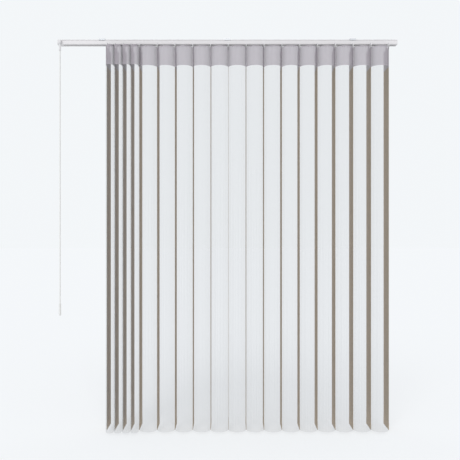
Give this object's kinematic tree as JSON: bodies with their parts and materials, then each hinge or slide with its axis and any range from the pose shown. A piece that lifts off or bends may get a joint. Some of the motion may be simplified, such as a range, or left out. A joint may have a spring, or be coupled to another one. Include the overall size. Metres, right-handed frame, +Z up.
{
  "type": "vertical blind",
  "caption": "Vertical blind: opaque vanes that turn behind a folded sheer facing, hung on carriers in a slim headrail, drawn along it and tilted by a wand.",
  "frame": {"origin": "midway along the headrail, on the ceiling face of the mounting brackets, between the outer screw holes", "axes": "+X along the rail to the fixed carrier, +Y to the window, +Z up"},
  "size_m": [1.736, 0.1507, 1.987],
  "materials": {
    "rail_lacquer": "satin",
    "white_plastic": "satin",
    "clip_steel": "satin",
    "rod_metal": "satin",
    "wand_plastic": "satin",
    "carrier_plastic": "satin",
    "sheer_cloth": "matte",
    "header_cloth": "matte",
    "vane_cloth": "matte"
  },
  "bodies": {
    "headrail": {"rail": "rail_lacquer", "control_head": "white_plastic", "end_cap": "white_plastic", "bracket_left": "clip_steel", "bracket_middle": "clip_steel", "bracket_right": "clip_steel", "carrier_19": "carrier_plastic", "sheer": "sheer_cloth", "header_strips": "header_cloth"},
    "carrier_01": {"carrier_01": "carrier_plastic"},
    "carrier_02": {"carrier_02": "carrier_plastic"},
    "carrier_03": {"carrier_03": "carrier_plastic"},
    "carrier_04": {"carrier_04": "carrier_plastic"},
    "carrier_05": {"carrier_05": "carrier_plastic"},
    "carrier_06": {"carrier_06": "carrier_plastic"},
    "carrier_07": {"carrier_07": "carrier_plastic"},
    "carrier_08": {"carrier_08": "carrier_plastic"},
    "carrier_09": {"carrier_09": "carrier_plastic"},
    "carrier_10": {"carrier_10": "carrier_plastic"},
    "carrier_11": {"carrier_11": "carrier_plastic"},
    "carrier_12": {"carrier_12": "carrier_plastic"},
    "carrier_13": {"carrier_13": "carrier_plastic"},
    "carrier_14": {"carrier_14": "carrier_plastic"},
    "carrier_15": {"carrier_15": "carrier_plastic"},
    "carrier_16": {"carrier_16": "carrier_plastic"},
    "carrier_17": {"carrier_17": "carrier_plastic"},
    "carrier_18": {"carrier_18": "carrier_plastic"},
    "vane_01": {"vane_01": "vane_cloth"},
    "vane_02": {"vane_02": "vane_cloth"},
    "vane_03": {"vane_03": "vane_cloth"},
    "vane_04": {"vane_04": "vane_cloth"},
    "vane_05": {"vane_05": "vane_cloth"},
    "vane_06": {"vane_06": "vane_cloth"},
    "vane_07": {"vane_07": "vane_cloth"},
    "vane_08": {"vane_08": "vane_cloth"},
    "vane_09": {"vane_09": "vane_cloth"},
    "vane_10": {"vane_10": "vane_cloth"},
    "vane_11": {"vane_11": "vane_cloth"},
    "vane_12": {"vane_12": "vane_cloth"},
    "vane_13": {"vane_13": "vane_cloth"},
    "vane_14": {"vane_14": "vane_cloth"},
    "vane_15": {"vane_15": "vane_cloth"},
    "vane_16": {"vane_16": "vane_cloth"},
    "vane_17": {"vane_17": "vane_cloth"},
    "vane_18": {"vane_18": "vane_cloth"},
    "vane_19": {"vane_19": "vane_cloth"},
    "tilt_rod": {"tilt_rod": "rod_metal"},
    "wand": {"wand_shaft": "rod_metal", "wand_coupler": "white_plastic", "wand": "wand_plastic", "wand_grip": "wand_plastic"}
  },
  "joints": [
    {"name": "carrier_18_slide", "type": "slide", "parent": "headrail", "child": "carrier_18", "axis": [1, 0, 0], "range_m": [0, 0.04], "deforming": ["sheer", "header_strips"]},
    {"name": "carrier_17_slide", "type": "slide", "parent": "carrier_18", "child": "carrier_17", "axis": [1, 0, 0], "range_m": [0, 0.049], "deforming": ["sheer", "header_strips"]},
    {"name": "carrier_16_slide", "type": "slide", "parent": "carrier_17", "child": "carrier_16", "axis": [1, 0, 0], "range_m": [0, 0.049], "deforming": ["sheer", "header_strips"]},
    {"name": "carrier_15_slide", "type": "slide", "parent": "carrier_16", "child": "carrier_15", "axis": [1, 0, 0], "range_m": [0, 0.049], "deforming": ["sheer", "header_strips"]},
    {"name": "carrier_14_slide", "type": "slide", "parent": "carrier_15", "child": "carrier_14", "axis": [1, 0, 0], "range_m": [0, 0.049], "deforming": ["sheer", "header_strips"]},
    {"name": "carrier_13_slide", "type": "slide", "parent": "carrier_14", "child": "carrier_13", "axis": [1, 0, 0], "range_m": [0, 0.049], "deforming": ["sheer", "header_strips"]},
    {"name": "carrier_12_slide", "type": "slide", "parent": "carrier_13", "child": "carrier_12", "axis": [1, 0, 0], "range_m": [0, 0.049], "deforming": ["sheer", "header_strips"]},
    {"name": "carrier_11_slide", "type": "slide", "parent": "carrier_12", "child": "carrier_11", "axis": [1, 0, 0], "range_m": [0, 0.049], "deforming": ["sheer", "header_strips"]},
    {"name": "carrier_10_slide", "type": "slide", "parent": "carrier_11", "child": "carrier_10", "axis": [1, 0, 0], "range_m": [0, 0.049], "deforming": ["sheer", "header_strips"]},
    {"name": "carrier_09_slide", "type": "slide", "parent": "carrier_10", "child": "carrier_09", "axis": [1, 0, 0], "range_m": [0, 0.049], "deforming": ["sheer", "header_strips"]},
    {"name": "carrier_08_slide", "type": "slide", "parent": "carrier_09", "child": "carrier_08", "axis": [1, 0, 0], "range_m": [0, 0.049], "deforming": ["sheer", "header_strips"]},
    {"name": "carrier_07_slide", "type": "slide", "parent": "carrier_08", "child": "carrier_07", "axis": [1, 0, 0], "range_m": [0, 0.049], "deforming": ["sheer", "header_strips"]},
    {"name": "carrier_06_slide", "type": "slide", "parent": "carrier_07", "child": "carrier_06", "axis": [1, 0, 0], "range_m": [0, 0.049], "deforming": ["sheer", "header_strips"]},
    {"name": "carrier_05_slide", "type": "slide", "parent": "carrier_06", "child": "carrier_05", "axis": [1, 0, 0], "range_m": [0, 0.049], "deforming": ["sheer", "header_strips"]},
    {"name": "carrier_04_slide", "type": "slide", "parent": "carrier_05", "child": "carrier_04", "axis": [1, 0, 0], "range_m": [-0.049, 0], "deforming": ["sheer", "header_strips"]},
    {"name": "carrier_03_slide", "type": "slide", "parent": "carrier_04", "child": "carrier_03", "axis": [1, 0, 0], "range_m": [-0.049, 0], "deforming": ["sheer", "header_strips"]},
    {"name": "carrier_02_slide", "type": "slide", "parent": "carrier_03", "child": "carrier_02", "axis": [1, 0, 0], "range_m": [-0.049, 0], "deforming": ["sheer", "header_strips"]},
    {"name": "carrier_01_slide", "type": "slide", "parent": "carrier_02", "child": "carrier_01", "axis": [1, 0, 0], "range_m": [-0.049, 0], "deforming": ["sheer", "header_strips"]},
    {"name": "vane_19_tilt", "type": "hinge", "parent": "headrail", "child": "vane_19", "pos_m": [0.815, 0, 0], "axis": [0, 0, 1], "range_deg": [-80, 80]},
    {"name": "vane_18_tilt", "type": "hinge", "parent": "carrier_18", "child": "vane_18", "pos_m": [0.725, 0, 0], "axis": [0, 0, 1], "range_deg": [-80, 80]},
    {"name": "vane_17_tilt", "type": "hinge", "parent": "carrier_17", "child": "vane_17", "pos_m": [0.635, 0, 0], "axis": [0, 0, 1], "range_deg": [-80, 80]},
    {"name": "vane_16_tilt", "type": "hinge", "parent": "carrier_16", "child": "vane_16", "pos_m": [0.545, 0, 0], "axis": [0, 0, 1], "range_deg": [-80, 80]},
    {"name": "vane_15_tilt", "type": "hinge", "parent": "carrier_15", "child": "vane_15", "pos_m": [0.455, 0, 0], "axis": [0, 0, 1], "range_deg": [-80, 80]},
    {"name": "vane_14_tilt", "type": "hinge", "parent": "carrier_14", "child": "vane_14", "pos_m": [0.365, 0, 0], "axis": [0, 0, 1], "range_deg": [-80, 80]},
    {"name": "vane_13_tilt", "type": "hinge", "parent": "carrier_13", "child": "vane_13", "pos_m": [0.275, 0, 0], "axis": [0, 0, 1], "range_deg": [-80, 80]},
    {"name": "vane_12_tilt", "type": "hinge", "parent": "carrier_12", "child": "vane_12", "pos_m": [0.185, 0, 0], "axis": [0, 0, 1], "range_deg": [-80, 80]},
    {"name": "vane_11_tilt", "type": "hinge", "parent": "carrier_11", "child": "vane_11", "pos_m": [0.095, 0, 0], "axis": [0, 0, 1], "range_deg": [-80, 80]},
    {"name": "vane_10_tilt", "type": "hinge", "parent": "carrier_10", "child": "vane_10", "pos_m": [0.005, 0, 0], "axis": [0, 0, 1], "range_deg": [-80, 80]},
    {"name": "vane_09_tilt", "type": "hinge", "parent": "carrier_09", "child": "vane_09", "pos_m": [-0.085, 0, 0], "axis": [0, 0, 1], "range_deg": [-80, 80]},
    {"name": "vane_08_tilt", "type": "hinge", "parent": "carrier_08", "child": "vane_08", "pos_m": [-0.175, 0, 0], "axis": [0, 0, 1], "range_deg": [-80, 80]},
    {"name": "vane_07_tilt", "type": "hinge", "parent": "carrier_07", "child": "vane_07", "pos_m": [-0.265, 0, 0], "axis": [0, 0, 1], "range_deg": [-80, 80]},
    {"name": "vane_06_tilt", "type": "hinge", "parent": "carrier_06", "child": "vane_06", "pos_m": [-0.355, 0, 0], "axis": [0, 0, 1], "range_deg": [-80, 80]},
    {"name": "vane_05_tilt", "type": "hinge", "parent": "carrier_05", "child": "vane_05", "pos_m": [-0.445, 0, 0], "axis": [0, 0, 1], "range_deg": [-80, 80]},
    {"name": "vane_04_tilt", "type": "hinge", "parent": "carrier_04", "child": "vane_04", "pos_m": [-0.486, 0, 0], "axis": [0, 0, 1], "range_deg": [-80, 80]},
    {"name": "vane_03_tilt", "type": "hinge", "parent": "carrier_03", "child": "vane_03", "pos_m": [-0.527, 0, 0], "axis": [0, 0, 1], "range_deg": [-80, 80]},
    {"name": "vane_02_tilt", "type": "hinge", "parent": "carrier_02", "child": "vane_02", "pos_m": [-0.568, 0, 0], "axis": [0, 0, 1], "range_deg": [-80, 80]},
    {"name": "vane_01_tilt", "type": "hinge", "parent": "carrier_01", "child": "vane_01", "pos_m": [-0.609, 0, 0], "axis": [0, 0, 1], "range_deg": [-80, 80]},
    {"name": "tilt_rod_spin", "type": "hinge", "parent": "headrail", "child": "tilt_rod", "pos_m": [0, 0.0079, -0.0185], "axis": [1, 0, 0], "range_deg": [-480, 480]},
    {"name": "wand_spin", "type": "hinge", "parent": "headrail", "child": "wand", "pos_m": [-0.851, -0.032, 0], "axis": [0, 0, 1], "range_deg": [-480, 480]}
  ],
  "couplings": [
    {"joint": "vane_01_tilt", "follows": "vane_19_tilt", "ratio": 1},
    {"joint": "vane_02_tilt", "follows": "vane_19_tilt", "ratio": 1},
    {"joint": "vane_03_tilt", "follows": "vane_19_tilt", "ratio": 1},
    {"joint": "vane_04_tilt", "follows": "vane_19_tilt", "ratio": 1},
    {"joint": "vane_05_tilt", "follows": "vane_19_tilt", "ratio": 1},
    {"joint": "vane_06_tilt", "follows": "vane_19_tilt", "ratio": 1},
    {"joint": "vane_07_tilt", "follows": "vane_19_tilt", "ratio": 1},
    {"joint": "vane_08_tilt", "follows": "vane_19_tilt", "ratio": 1},
    {"joint": "vane_09_tilt", "follows": "vane_19_tilt", "ratio": 1},
    {"joint": "vane_10_tilt", "follows": "vane_19_tilt", "ratio": 1},
    {"joint": "vane_11_tilt", "follows": "vane_19_tilt", "ratio": 1},
    {"joint": "vane_12_tilt", "follows": "vane_19_tilt", "ratio": 1},
    {"joint": "vane_13_tilt", "follows": "vane_19_tilt", "ratio": 1},
    {"joint": "vane_14_tilt", "follows": "vane_19_tilt", "ratio": 1},
    {"joint": "vane_15_tilt", "follows": "vane_19_tilt", "ratio": 1},
    {"joint": "vane_16_tilt", "follows": "vane_19_tilt", "ratio": 1},
    {"joint": "vane_17_tilt", "follows": "vane_19_tilt", "ratio": 1},
    {"joint": "vane_18_tilt", "follows": "vane_19_tilt", "ratio": 1},
    {"joint": "tilt_rod_spin", "follows": "vane_19_tilt", "ratio": 6},
    {"joint": "wand_spin", "follows": "vane_19_tilt", "ratio": 6}
  ]
}
